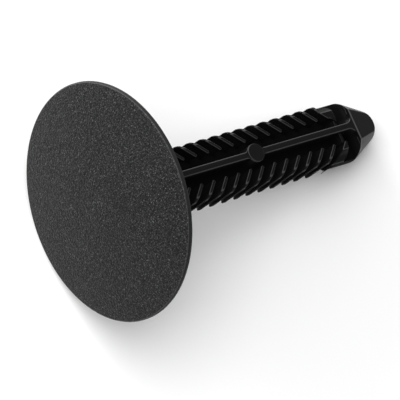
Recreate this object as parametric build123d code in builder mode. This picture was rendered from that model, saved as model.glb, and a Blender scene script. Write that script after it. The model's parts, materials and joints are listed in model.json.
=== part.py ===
from build123d import *
from math import asin, atan2, cos, degrees, radians, sin, tan
import os

# A push rivet, moulded in one piece of black plastic: a thin domed head, a shank of
# springy swept-back fins on a web and a core, and a blunt chisel-shaped nose.
#
# The rivet is built on its own axes, in millimetres: z runs down the shank from the
# seat under the head (z = 0) to the tip, x runs across the fins, and y runs across the
# web, which is also the way the two halves of the mould part. At the end it is laid
# on its side, the way it comes to rest on a table.

# Head
head_diameter = 30.0
rim_thickness = 0.6
crown_height = 1.7          # rise of the dome above the rim
seat_width = 1.5            # flat ring under the head that bears on the panel
dish_depth = 0.9            # hollow inside that ring

# Web and core of the shank
web_thickness = 0.87
web_depth = 6.5
core_width = 4.0
core_depth = 1.6
shank_sink = 0.5            # how far the shank runs up into the head

# Fins: plates swept back towards the head, one row on each side of the web
fin_width = 7.61            # over both rows
fin_depth = 5.74
fin_corner = 0.8
fin_thickness = 0.4
fin_sweep = 45.0            # degrees from square to the shank
fin_gap = 3.25              # between the inner ends of the two rows
fin_pitch = 2.055
first_fin = 4.0             # outer edge of the first fin, below the seat
fin_count = 16              # in the first row; the other has one less, half a pitch on

# Pilot: the round end of the shank, which starts the rivet in its hole
pilot_diameter = 7.76
pilot_length = 4.3          # from where the fins are trimmed round to the nose
last_gap = 1.925            # from the last fin to the wedge and cross wall that end the fins
end_wall_thickness = 0.45
end_wall_depth = 5.3

# Ejector pad: a round column on one edge of the web
pad_diameter = 2.4
pad_position = 21.9
pad_rise = 0.1              # above the web's edge
pad_fillet = 0.6

# Nose
neck_length = 2.05          # from the end of the fins to the nose
nose_side_length = 0.17     # straight side of the nose, before it tapers
nose_half_angle = 24.7      # degrees, of the tapering end
tip_radius = 2.33
nose_flat_length = 0.4      # along the shank, before the chisel's faces start
chisel_angle = 22.5         # degrees between each chisel face and the shank
ridge_round = 0.8           # where each flat turns into its chisel face
nose_edge_round = 0.4       # round the outlines of the flats and the chisel faces
neck_width = 3.2            # where the web flares into the nose
neck_fillet = 0.95

head_radius = head_diameter / 2
dome_top = -(rim_thickness + crown_height)
shank_top = -(dish_depth + shank_sink)
web_half = web_depth / 2
pilot_radius = pilot_diameter / 2
end_wall = first_fin + (fin_count - 1) * fin_pitch + last_gap
nose_back = end_wall + neck_length
nose_shoulder = nose_back + nose_side_length
pilot_start = nose_back - pilot_length
chisel_start = nose_back + nose_flat_length


def cap_radius(half_width, rise):
    """Radius of the sphere whose cap has this half width and rise."""
    return (half_width**2 + rise**2) / (2 * rise)


# Head, a half section turned about the shank's axis
dome = cap_radius(head_radius, crown_height)
dish_edge = head_radius - seat_width
dish = cap_radius(dish_edge, dish_depth)

with BuildPart() as head:
    with BuildSketch(Plane.XZ):
        with BuildLine():
            CenterArc((0, dome_top + dome), dome, -90, degrees(asin(head_radius / dome)))
            Line((head_radius, -rim_thickness), (head_radius, 0))
            Line((head_radius, 0), (dish_edge, 0))
            CenterArc((0, dish - dish_depth), dish, -90, degrees(asin(dish_edge / dish)))
            Line((0, -dish_depth), (0, dome_top))
        make_face()
    revolve(axis=Axis.Z)

# Outline that the fins are trimmed to: a rounded rectangle, then round on the pilot
with BuildPart() as fin_outline:
    with BuildSketch(Plane.XY):
        RectangleRounded(fin_width, fin_depth, fin_corner)
    extrude(amount=pilot_start)
    with BuildSketch(Plane.XY.offset(pilot_start)):
        Circle(pilot_radius)
    extrude(amount=nose_back - pilot_start)

# Fins, drawn longer than they are and trimmed to that outline
slope = tan(radians(fin_sweep))
thickness_along = fin_thickness / cos(radians(fin_sweep))
end_across = fin_thickness * sin(radians(fin_sweep))
end_along = fin_thickness * cos(radians(fin_sweep))
inner = fin_gap / 2
outer = fin_width / 2 + fin_thickness
rows = (
    (-1, fin_count, first_fin),
    (1, fin_count - 1, first_fin + fin_pitch / 2),
)

with BuildPart() as fins:
    with BuildSketch(Plane.XZ):
        for side, count, start in rows:
            for number in range(count):
                # the fin's middle is at this height where it meets the outline
                edge = start + number * fin_pitch
                low = edge - (outer - fin_width / 2) * slope
                # its inner end is cut square
                high = edge + (fin_width / 2 - inner - end_across / 2) * slope
                Polygon(
                    (side * outer, low - thickness_along / 2),
                    (side * outer, low + thickness_along / 2),
                    (side * (inner + end_across), high + end_along / 2),
                    (side * inner, high - end_along / 2),
                )
            # the wedge fills the corner between the last fin and the end wall
            Polygon(
                (side * (fin_width / 2 - (end_wall - edge) / slope), end_wall),
                (side * outer, low),
                (side * outer, end_wall),
            )
    extrude(amount=fin_depth / 2, both=True)
    add(fin_outline.part, mode=Mode.INTERSECT)

# Nose: a round plug with a tapering end, flat on both sides and cut to a chisel. The
# pilot's core behind it is cut from the same plug, so it is as wide as the pilot.
taper = radians(nose_half_angle)
taper_length = (pilot_radius - tip_radius * cos(taper)) / tan(taper)
tip_centre = nose_shoulder + taper_length - tip_radius * sin(taper)
tip = tip_centre + tip_radius
chisel_end = web_half - (tip - chisel_start) * tan(radians(chisel_angle))

with BuildPart() as nose:
    with BuildSketch(Plane.XZ):
        with BuildLine():
            Polyline(
                (0, pilot_start),
                (pilot_radius, pilot_start),
                (pilot_radius, nose_shoulder),
                (tip_radius * cos(taper), nose_shoulder + taper_length),
            )
            CenterArc((0, tip_centre), tip_radius, nose_half_angle, 90 - nose_half_angle)
            Line((0, tip), (0, pilot_start))
        make_face()
    revolve(axis=Axis.Z)
    with BuildSketch(Plane.YZ) as sides:
        with BuildLine():
            Polyline(
                (-web_half, pilot_start),
                (-web_half, chisel_start),
                (-chisel_end, tip),
                (chisel_end, tip),
                (web_half, chisel_start),
                (web_half, pilot_start),
                close=True,
            )
        make_face()
        ridges = sides.vertices().filter_by_position(Axis.Y, chisel_start, chisel_start)
        fillet(ridges, ridge_round)
    extrude(amount=pilot_radius, both=True, mode=Mode.INTERSECT)
    # the outlines are all the edges but the level ones and the seam of the plug
    outlines = nose.edges().filter_by(Plane.XY, reverse=True)
    fillet(outlines.filter_by(lambda edge: abs(edge.center().Y) > 0.01), nose_edge_round)
    with BuildSketch(Plane.YZ):
        with Locations((0, end_wall - end_wall_thickness)):
            Rectangle(core_depth, tip, align=(Align.CENTER, Align.MIN))
        with Locations((0, nose_back)):
            Rectangle(web_depth, tip, align=(Align.CENTER, Align.MIN))
    extrude(amount=pilot_radius, both=True, mode=Mode.INTERSECT)

# The whole rivet, standing on its head's axis
with BuildPart() as rivet:
    add(head.part)
    add(fins.part)
    add(nose.part)
    # core and web, from inside the head to inside the nose
    with BuildSketch(Plane.XY.offset(shank_top)):
        Rectangle(core_width, core_depth)
        Rectangle(web_thickness, web_depth)
    extrude(amount=nose_shoulder - shank_top)
    # cross wall that closes the gaps between the web and the fins
    with BuildSketch(Plane.XY.offset(end_wall - end_wall_thickness)):
        Rectangle(fin_gap + fin_thickness, end_wall_depth)
    extrude(amount=end_wall_thickness)
    # the web's flare into the nose
    with BuildSketch(Plane.XZ) as flare:
        with Locations((0, (nose_back + nose_shoulder) / 2)):
            Rectangle(neck_width, nose_shoulder - nose_back)
        with Locations((0, nose_back - neck_fillet)):
            Rectangle(web_thickness, 2 * neck_fillet)
        fillet(flare.vertices().group_by(Axis.Y)[1].sort_by(Axis.X)[1:3], neck_fillet)
    extrude(amount=web_half, both=True)
    # the ejector pad's column, blended into the web
    with BuildSketch(Plane.back) as pad:
        with Locations((0, pad_position)):
            Circle(pad_diameter / 2)
            Rectangle(web_thickness, 2 * pad_diameter)
        corners = pad.vertices().filter_by_position(
            Axis.Y, pad_position - pad_diameter / 2, pad_position + pad_diameter / 2
        )
        fillet(corners, pad_fillet)
    extrude(amount=web_half)
    with BuildSketch(Plane.back):
        with Locations((0, pad_position)):
            Circle(pad_diameter / 2)
    extrude(amount=web_half + pad_rise)

# On a table it rests on the rim of its head and on the far ridge of its nose, with the
# ejector pad uppermost. That table is z = 0 of the finished part, whose
# shank points along +x.
lean = atan2(head_radius - web_half, chisel_start)
lying = Plane(
    origin=(0, 0, head_radius * cos(lean)),
    x_dir=(0, 1, 0),
    z_dir=(cos(lean), 0, -sin(lean)),
)

with BuildPart() as laid:
    with Locations(lying.location):
        add(rivet.part)

middle_x = laid.part.bounding_box().center().X

with BuildPart() as push_rivet:
    with Locations((-middle_x, 0, 0)):
        add(laid.part)

push_rivet.part.label = "push_rivet"
os.makedirs("parts", exist_ok=True)
export_step(push_rivet.part, "parts/push_rivet.step")
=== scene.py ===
"""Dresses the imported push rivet: rounded edges, black moulded plastic, a studio and a camera."""

import json
from math import cos, radians, sin, tan

import bmesh
import bpy
from mathutils import Matrix, Vector


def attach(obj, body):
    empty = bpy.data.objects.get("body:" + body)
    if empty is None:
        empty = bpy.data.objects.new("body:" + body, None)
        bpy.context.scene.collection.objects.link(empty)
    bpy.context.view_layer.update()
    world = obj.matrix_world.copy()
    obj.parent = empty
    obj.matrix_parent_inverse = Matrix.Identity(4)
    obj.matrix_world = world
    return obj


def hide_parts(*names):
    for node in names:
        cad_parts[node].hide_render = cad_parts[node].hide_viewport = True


MM = 0.001

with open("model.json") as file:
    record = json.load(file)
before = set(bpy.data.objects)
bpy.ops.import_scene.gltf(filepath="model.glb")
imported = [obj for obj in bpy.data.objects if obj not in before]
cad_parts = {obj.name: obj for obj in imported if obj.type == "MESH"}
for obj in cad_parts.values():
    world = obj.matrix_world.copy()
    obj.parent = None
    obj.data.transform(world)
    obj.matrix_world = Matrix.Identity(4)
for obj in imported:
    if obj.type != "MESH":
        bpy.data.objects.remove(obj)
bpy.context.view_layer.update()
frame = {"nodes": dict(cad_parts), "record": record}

# ---- the rivet's own axes ----
# The record's shank mount gives the middle of the seat under the head, and the way the
# shank points. "Along" is measured from there towards the tip.
shank_mount = next(mount for mount in frame["record"]["mounts"] if mount["name"] == "shank")
SEAT_CENTRE = Vector(shank_mount["pos_m"])
ALONG = Vector(shank_mount["axis"]).normalized()
ACROSS_FINS = Vector((0, 1, 0))
ACROSS_WEB = ALONG.cross(ACROSS_FINS)
OWN_AXES = Matrix((ACROSS_FINS, ACROSS_WEB, ALONG)).transposed()

# ---- where things are on the rivet, in millimetres ----
HEAD_RADIUS = 15.0
RIM_THICKNESS = 0.6
BOUNDARY_RISE = 1.1  # of the boundary between dome and dish, from the rim to the middle
WEB_HALF_DEPTH = 3.25
PAD_ALONG = 21.9
PAD_REACH = 1.12  # from the pad's middle to where its outline leaves the web's edges
PAD_HEIGHT = 0.1  # above the web
FINS_HALF_DEPTH = 2.87
FINS_HALF_WIDTH = 3.805
FINS_END = 36.8
INNER_ENDS = 2.0  # the fins' inner ends are nearer to the middle of the web than this
FLARE_LENGTH = 0.95  # of the web, where it widens into the nose
NOSE_BACK = 38.8
CHISEL_START = 39.2
CHISEL_SLOPE = tan(radians(22.5))

# ---- how the mesh is cleaned ----
MERGE_DISTANCE = 0.015  # millimetres
FLAT_ANGLE = radians(0.05)

# ---- how far each kind of edge is rounded, in millimetres ----
RIM_ROUND = 0.2
WEB_ROUND = 0.18
PAD_ROUND = 0.09
FIN_ROUND = 0.1
FIN_END_ROUND = 0.17
WIDEST_ROUND = max(RIM_ROUND, WEB_ROUND, PAD_ROUND, FIN_ROUND, FIN_END_ROUND)
ROUND_SEGMENTS = 2
PAD_FADE = 0.35  # beside the pad, the web's rounding grows to its full width over this
NEAR = 0.01  # what lies closer to a plane than this counts as on it
NOSE_MARGIN = 0.05  # nothing is rounded from this far before the back of the nose
SHARP_ANGLE = radians(25)
SMOOTH_ANGLE = radians(30)
PARALLEL = 0.99  # least cosine between two directions that count as the same

# ---- the plastic's finish, with its painted sheen and shade ----
# Sizes and depths are in millimetres, and tones are linear values of the base colour. The
# tones of the rim, the nose, the chisel faces and the edges are painted sheen and come on top
# of the shank's. The web's paler tone (painted sheen) and the recess's darker one (painted
# shade) take the shank's place. Those of the grain, the painted glints and the patches are
# multiples of the head's.
GRAIN_SIZE = 0.26
GRAIN_DEPTH = 0.35
GLINT_SIZE = 0.17
PATCH_SIZE = 12.0
SHANK_DEPTH = 0.006
NOISE_DETAIL = 2.0
NOISE_ROUGHNESS = 0.6
NOISE_MIDDLE = 0.5
GRAIN_RANGE = (0.3, 0.7)  # noise that gives the darkest pits and the palest lumps
GLINT_RANGE = (0.57, 0.7)  # noise that gives no painted glint and a full one
HEAD_TONE = 0.0075
GRAIN_TONE = 3.6
# painted glints: bright specks of painted highlight on the dome
GLINT_TONE = 14.0
PATCH_TONE = 1.6
SHANK_TONE = 0.0015
# painted shade: the gaps between the fins are darker than the faces
RECESS_SHADE_TONE = 0.0001
# painted sheen: the web's face is a little paler than the fins
WEB_SHEEN_TONE = 0.0025
# painted sheen on the rounding round the rim
RIM_SHEEN_TONE = 0.014
# painted sheen that makes the nose's cone pale
NOSE_SHEEN_TONE = 0.07
# a weaker painted sheen on the chisel faces
CHISEL_SHEEN_TONE = 0.004
# painted sheen along the rounded edges
EDGE_SHEEN_TONE = 0.054
BLUE_SHARE = 1.02  # of the red and the green
HEAD_ROUGHNESS = 0.52
SHANK_ROUGHNESS = 0.55
RECESS_ROUGHNESS = 1.0
CHISEL_ROUGHNESS = 0.9
SPECULAR = 0.16

# ---- where one part of the finish gives way to the next, in millimetres ----
FADE = 0.1  # where no other length is given
SEAT_FADE = 0.5
RECESS_FADE = 1.2
RIM_FADE = 0.2
CHISEL_SKIN = 0.02  # what lies less deep than this belongs to a chisel face
# where the painted sheen along the rounded edges starts, stops and fades
FIN_SHEEN_START = 1.6  # about where the fins' inner ends are
WEB_SHEEN_STOP = 0.3  # before the back of the nose
WEB_SHEEN_FADE = 0.2
NOSE_SHEEN_REACH = 0.3  # beyond the back of the nose
NOSE_SHEEN_FADE = 0.15
SHEEN_FULL = 0.8  # share of the rounding's width at which its painted sheen is full
SHEEN_FADE = 0.03  # this far inside the face, the painted sheen starts to fade
SHEEN_STOP = 0.004  # and this far inside the face, it is gone


def own_axes(point):
    """A point of the shared frame as (across the fins, across the web, along), in millimetres."""
    offset = (point - SEAT_CENTRE) / MM
    return offset.dot(ACROSS_FINS), offset.dot(ACROSS_WEB), offset.dot(ALONG)


def deselect_all():
    bpy.ops.object.select_all(action="DESELECT")


def make_active(piece):
    deselect_all()
    piece.select_set(True)
    bpy.context.view_layer.objects.active = piece


# ---- the moulding ----
def copy_moulding(node, name):
    """A new mesh with the node's shape, its loose triangles merged and its flat faces joined."""
    piece = bpy.data.objects.new(name, node.data.copy())
    piece.data.materials.clear()
    bpy.context.scene.collection.objects.link(piece)
    make_active(piece)
    bpy.ops.object.mode_set(mode="EDIT")
    bpy.ops.mesh.select_all(action="SELECT")
    bpy.ops.mesh.remove_doubles(threshold=MERGE_DISTANCE * MM)
    bpy.ops.mesh.dissolve_limited(angle_limit=FLAT_ANGLE)
    bpy.ops.object.mode_set(mode="OBJECT")
    return piece


def web_round(across_web, along):
    """The web's rounding in millimetres, which fades out towards the pad and the nose."""
    from_nose = (NOSE_BACK - along) / FLARE_LENGTH
    from_pad = (abs(along - PAD_ALONG) - PAD_REACH) / PAD_FADE if across_web > 0 else 1
    share = max(0, min(1, from_nose, from_pad))
    return share * WEB_ROUND


def edge_round(edge):
    """How far this edge is rounded, in millimetres."""
    if not edge.is_convex or edge.calc_face_angle() < SHARP_ANGLE:
        return 0
    start, end = (corner.co for corner in edge.verts)
    across_fins, across_web, along = own_axes((start + end) / 2)
    if along < NEAR:
        return RIM_ROUND if abs(along) < RIM_THICKNESS + NEAR else 0
    if along > NOSE_BACK - NOSE_MARGIN:
        return 0
    if across_web > WEB_HALF_DEPTH + NEAR:
        return PAD_ROUND
    if abs(across_web) > WEB_HALF_DEPTH - NEAR:
        return web_round(across_web, along)
    runs_across_web = abs((start - end).normalized().dot(ACROSS_WEB)) > PARALLEL
    if runs_across_web and abs(across_fins) < INNER_ENDS:
        return FIN_END_ROUND
    return FIN_ROUND


def weigh_edges(piece):
    """Gives each edge its share of the widest rounding."""
    mesh = bmesh.new()
    mesh.from_mesh(piece.data)
    weights = mesh.edges.layers.float.new("bevel_weight_edge")
    for edge in mesh.edges:
        edge[weights] = edge_round(edge) / WIDEST_ROUND
    mesh.to_mesh(piece.data)
    mesh.free()


def round_edges(piece):
    weigh_edges(piece)
    make_active(piece)
    bevel = piece.modifiers.new("rounded edges", "BEVEL")
    bevel.limit_method = "WEIGHT"
    bevel.width = WIDEST_ROUND * MM
    bevel.segments = ROUND_SEGMENTS
    bevel.use_clamp_overlap = False
    bevel.miter_outer = "MITER_ARC"
    bpy.ops.object.modifier_apply(modifier=bevel.name)
    bpy.ops.object.shade_smooth_by_angle(angle=SMOOTH_ANGLE)
    flats = piece.modifiers.new("flat faces stay flat", "WEIGHTED_NORMAL")
    flats.keep_sharp = True
    bpy.ops.object.modifier_apply(modifier=flats.name)


# ---- materials ----
class Signal:
    """A shader socket on which plain arithmetic adds Math nodes."""

    def __init__(self, nodes, socket):
        self.nodes = nodes
        self.socket = socket

    def math(self, operation, *others):
        values = {0: self}
        values.update({place + 1: other for place, other in enumerate(others)})
        return self.nodes.add("ShaderNodeMath", {"operation": operation}, values)

    def __add__(self, other):
        return self.math("ADD", other)

    def __sub__(self, other):
        return self.math("SUBTRACT", other)

    def __mul__(self, other):
        return self.math("MULTIPLY", other)

    def __rsub__(self, other):
        return self.nodes.add("ShaderNodeMath", {"operation": "SUBTRACT"}, {0: other, 1: self})

    __radd__ = __add__
    __rmul__ = __mul__


class Shader:
    """The node tree of one material."""

    def __init__(self, name):
        self.material = bpy.data.materials.new(name)
        self.material.use_nodes = True
        self.tree = self.material.node_tree
        self.surface = self.tree.nodes["Principled BSDF"]

    def add(self, kind, settings, inputs, output=0):
        """Adds a node with these settings and these inputs, and gives back one output."""
        node = self.tree.nodes.new(kind)
        for name, value in settings.items():
            setattr(node, name, value)
        for name, value in inputs.items():
            self.feed(node.inputs[name], value)
        return Signal(self, node.outputs[output])

    def feed(self, socket, value):
        if isinstance(value, Signal):
            self.tree.links.new(value.socket, socket)
        else:
            socket.default_value = value

    def finish(self, **inputs):
        for name, value in inputs.items():
            self.feed(self.surface.inputs[name.replace("_", " ")], value)
        return self.material


def ramp(signal, start, end):
    """Smoothly from 0 at start to 1 at end."""
    settings = {"interpolation_type": "SMOOTHSTEP"}
    values = {"Value": signal, "From Min": start, "From Max": end}
    return signal.nodes.add("ShaderNodeMapRange", settings, values)


def noise(shader, place, size):
    """Noise from 0 to 1 whose lumps are about this size."""
    values = {
        "Vector": place,
        "Scale": 1 / size,
        "Detail": NOISE_DETAIL,
        "Roughness": NOISE_ROUGHNESS,
    }
    return shader.add("ShaderNodeTexNoise", {"noise_dimensions": "3D"}, values)


def own_place(shader):
    """The shaded point on the rivet's own axes, in millimetres."""
    mapping = {
        "Vector": shader.add("ShaderNodeTexCoord", {}, {}, "Object"),
        "Location": SEAT_CENTRE,
        "Rotation": OWN_AXES.to_euler(),
        "Scale": (MM, MM, MM),
    }
    return shader.add("ShaderNodeMapping", {"vector_type": "TEXTURE"}, mapping)


def dome_share(from_axis, along):
    """1 on the domed face, 0 on the dished underside and on the side of the rim."""
    crown = 1 - (from_axis * (1 / HEAD_RADIUS)).math("POWER", 2.0)
    boundary = FADE - RIM_THICKNESS - crown * BOUNDARY_RISE
    return 1 - ramp(along - boundary, -FADE, 0.0)


def sheen_band(distance, face, width):
    """Painted sheen: 1 on the rounding beside a face that is this far from the middle, and 0
    elsewhere.
    """
    inner = ramp(distance, face - width, face - SHEEN_FULL * width)
    return inner * (1 - ramp(distance, face - SHEEN_FADE, face - SHEEN_STOP))


def shank_edge_sheen(aside, outward, along):
    """Painted sheen on the rounded edges of the fins, the web and the ejector pad."""
    fin_ends = sheen_band(outward, FINS_HALF_DEPTH, FIN_ROUND)
    fin_ends = fin_ends * ramp(aside, FIN_SHEEN_START - FADE, FIN_SHEEN_START + FADE)
    fin_sides = sheen_band(aside, FINS_HALF_WIDTH, FIN_ROUND)
    fin_sides = fin_sides * (1 - ramp(along, FINS_END, FINS_END + FADE))
    web_stop = NOSE_BACK - WEB_SHEEN_STOP
    web = sheen_band(outward, WEB_HALF_DEPTH, WEB_ROUND)
    web = web * (1 - ramp(along, web_stop, web_stop + WEB_SHEEN_FADE))
    pad = sheen_band(outward, WEB_HALF_DEPTH + PAD_HEIGHT, PAD_ROUND)
    return fin_ends + fin_sides + web + pad


def grain_and_glints_tone(grain, glint_noise, patches):
    """The dome's tone: dark pits, grey lumps, a few bright painted glints and broad soft patches.
    """
    lumps = (ramp(grain, *GRAIN_RANGE) - NOISE_MIDDLE) * GRAIN_TONE
    glints = ramp(glint_noise, *GLINT_RANGE) * GLINT_TONE
    return HEAD_TONE * (1 + (lumps + glints) + (patches - NOISE_MIDDLE) * PATCH_TONE)


def black_plastic():
    """Black nylon: a spark-eroded grain on the dome, almost smooth on the shank and the nose.

    Painted sheen makes the rounded edges, the rim, the web's face and the nose's cone paler,
    and painted shade makes the gaps between the fins darker; painted glints fleck the dome.
    """
    shader = Shader("black_plastic")
    place = own_place(shader)
    across_fins = shader.add("ShaderNodeSeparateXYZ", {}, {"Vector": place}, "X")
    across_web = shader.add("ShaderNodeSeparateXYZ", {}, {"Vector": place}, "Y")
    along = shader.add("ShaderNodeSeparateXYZ", {}, {"Vector": place}, "Z")
    aside = across_fins.math("ABSOLUTE")
    outward = across_web.math("ABSOLUTE")
    from_axis = (across_fins * across_fins + across_web * across_web).math("SQRT")

    dome = dome_share(from_axis, along)
    # the rounding round the rim, beside the dome, gets a painted sheen
    rim = ramp(from_axis, HEAD_RADIUS - RIM_FADE - FADE, HEAD_RADIUS - FADE) * (1 - dome)
    # the nose gets a painted sheen
    nose = ramp(along, NOSE_BACK, NOSE_BACK + FADE)
    shank = ramp(along, 0.0, SEAT_FADE) * (1 - nose)
    # the gaps between the fins get painted shade and a rougher finish
    recess = shank * (1 - ramp(outward, FINS_HALF_DEPTH - RECESS_FADE, FINS_HALF_DEPTH))
    # the web's face is painted a little paler, as sheen
    web = ramp(outward, WEB_HALF_DEPTH - FADE, WEB_HALF_DEPTH - NEAR)
    # the chisel faces get a weaker painted sheen and a rougher finish
    under_chisel = WEB_HALF_DEPTH - (along - CHISEL_START) * CHISEL_SLOPE - outward
    chisel = nose * (1 - ramp(under_chisel, CHISEL_SKIN, CHISEL_SKIN + FADE))
    # painted sheen along the back of the nose and the shank's rounded edges
    nose_sheen_stop = NOSE_BACK + NOSE_SHEEN_REACH
    nose_back_sheen = nose * (1 - web) * (1 - ramp(along, nose_sheen_stop, nose_sheen_stop + NOSE_SHEEN_FADE))
    edge_sheen = shank * shank_edge_sheen(aside, outward, along) + nose_back_sheen
    # painted sheen on the rounding at the dome's edge
    head_edge_sheen = sheen_band(from_axis, HEAD_RADIUS, RIM_ROUND)

    grain = noise(shader, place, GRAIN_SIZE)
    # noise that places the painted glints
    glint_noise = noise(shader, place, GLINT_SIZE)
    patches = noise(shader, place, PATCH_SIZE)
    grain_and_glints = grain_and_glints_tone(grain, glint_noise, patches)
    # the ungrained tone, with painted shade in the gaps between the fins and painted sheen on the
    # web's face, the nose, the chisel faces, the rounded edges and the rim
    smooth = (
        SHANK_TONE
        + recess * (RECESS_SHADE_TONE - SHANK_TONE)
        + web * (WEB_SHEEN_TONE - SHANK_TONE)
        + nose * NOSE_SHEEN_TONE
        + chisel * (CHISEL_SHEEN_TONE - NOSE_SHEEN_TONE)
        + edge_sheen * EDGE_SHEEN_TONE
        + rim * RIM_SHEEN_TONE
    )
    # on the dome: the grain with its painted glints, and painted sheen on the rounding at its edge
    tone = smooth + dome * (grain_and_glints + head_edge_sheen * EDGE_SHEEN_TONE - smooth)
    channels = {"Red": tone, "Green": tone, "Blue": tone * BLUE_SHARE}
    roughness = (
        SHANK_ROUGHNESS
        + dome * (HEAD_ROUGHNESS - SHANK_ROUGHNESS)
        + recess * (RECESS_ROUGHNESS - SHANK_ROUGHNESS)
        + chisel * (CHISEL_ROUGHNESS - SHANK_ROUGHNESS)
    )
    height = grain * (SHANK_DEPTH + dome * (GRAIN_DEPTH - SHANK_DEPTH))
    bump = {"Strength": 1.0, "Distance": MM, "Height": height}
    return shader.finish(
        Base_Color=shader.add("ShaderNodeCombineColor", {}, channels),
        Roughness=roughness,
        Specular_IOR_Level=SPECULAR,
        Normal=shader.add("ShaderNodeBump", {}, bump),
    )


# ---- studio ----
FLOOR_SIZE = 4.0  # metres
FLOOR_TONE = 0.9
FLOOR_ROUGHNESS = 0.9


def pale_floor():
    material = bpy.data.materials.new("pale floor")
    material.use_nodes = True
    surface = material.node_tree.nodes["Principled BSDF"]
    surface.inputs["Base Color"].default_value = (FLOOR_TONE, FLOOR_TONE, FLOOR_TONE, 1)
    surface.inputs["Roughness"].default_value = FLOOR_ROUGHNESS
    return material


def add_floor():
    deselect_all()
    bpy.ops.mesh.primitive_plane_add(size=FLOOR_SIZE)
    floor = bpy.context.active_object
    floor.name = "floor"
    floor.data.materials.append(pale_floor())


def from_angles(azimuth, elevation):
    """Unit vector towards these angles, in degrees."""
    flat = cos(radians(elevation))
    return Vector(
        (
            flat * cos(radians(azimuth)),
            flat * sin(radians(azimuth)),
            sin(radians(elevation)),
        )
    )


def add_softbox(name, azimuth, elevation, distance, size, power):
    """A square area light that faces the rivet; its distance and its size are in metres."""
    lamp = bpy.data.lights.new(name, "AREA")
    lamp.size = size
    lamp.energy = power
    box = bpy.data.objects.new(name, lamp)
    direction = from_angles(azimuth, elevation)
    box.location = direction * distance
    box.rotation_euler = direction.to_track_quat("Z", "Y").to_euler()
    bpy.context.scene.collection.objects.link(box)


def add_world(brightness):
    """Even white light from all round."""
    world = bpy.data.worlds.new("studio")
    world.use_nodes = True
    background = world.node_tree.nodes["Background"]
    background.inputs["Color"].default_value = (1, 1, 1, 1)
    background.inputs["Strength"].default_value = brightness
    bpy.context.scene.world = world


# ---- camera ----
# Seen along its shank, head first, the rivet has the pad on its right and a row of fins on
# top. From there it is turned about its shank, then its tip swings to the right, and then
# the whole view turns.
HEAD_FIRST = Matrix(((0, 1, 0), (1, 0, 0), (0, 0, -1)))
WEB_TURN = radians(11.8)
TIP_SWING = radians(50.3)
VIEW_TURN = radians(16.6)
VIEW_DISTANCE = 600 * MM
LENS = 435.8
SENSOR_WIDTH = 36
NEAREST = 10 * MM  # what is closer to the camera isn't drawn
MIDDLE_ALONG = 18.0
MIDDLE_RIGHT = 2.32
MIDDLE_UP = 3.79


def add_camera():
    """A long lens; a point of the shank's axis lies a little right of and above the middle."""
    data = bpy.data.cameras.new("camera")
    data.lens = LENS
    data.sensor_width = SENSOR_WIDTH
    data.clip_start = NEAREST
    camera = bpy.data.objects.new("camera", data)
    seen = (
        Matrix.Rotation(VIEW_TURN, 3, "Z")
        @ Matrix.Rotation(-TIP_SWING, 3, "Y")
        @ Matrix.Rotation(WEB_TURN, 3, "Z")
        @ HEAD_FIRST
    )
    turn = OWN_AXES @ seen.transposed()
    from_middle = Vector((-MIDDLE_RIGHT * MM, -MIDDLE_UP * MM, VIEW_DISTANCE))
    camera.location = SEAT_CENTRE + ALONG * MIDDLE_ALONG * MM + turn @ from_middle
    camera.rotation_euler = turn.to_euler()
    bpy.context.scene.collection.objects.link(camera)
    bpy.context.scene.camera = camera


rivet = copy_moulding(frame["nodes"]["push_rivet"], "rivet")
round_edges(rivet)
rivet.data.materials.append(black_plastic())
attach(rivet, "root")
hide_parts("push_rivet")

add_floor()
add_world(brightness=0.32)
add_softbox("key", azimuth=150, elevation=60, distance=0.8, size=0.9, power=8.6)
add_softbox("low", azimuth=97, elevation=8, distance=0.8, size=0.3, power=6.0)
add_camera()
bpy.context.scene.view_settings.view_transform = "Standard"
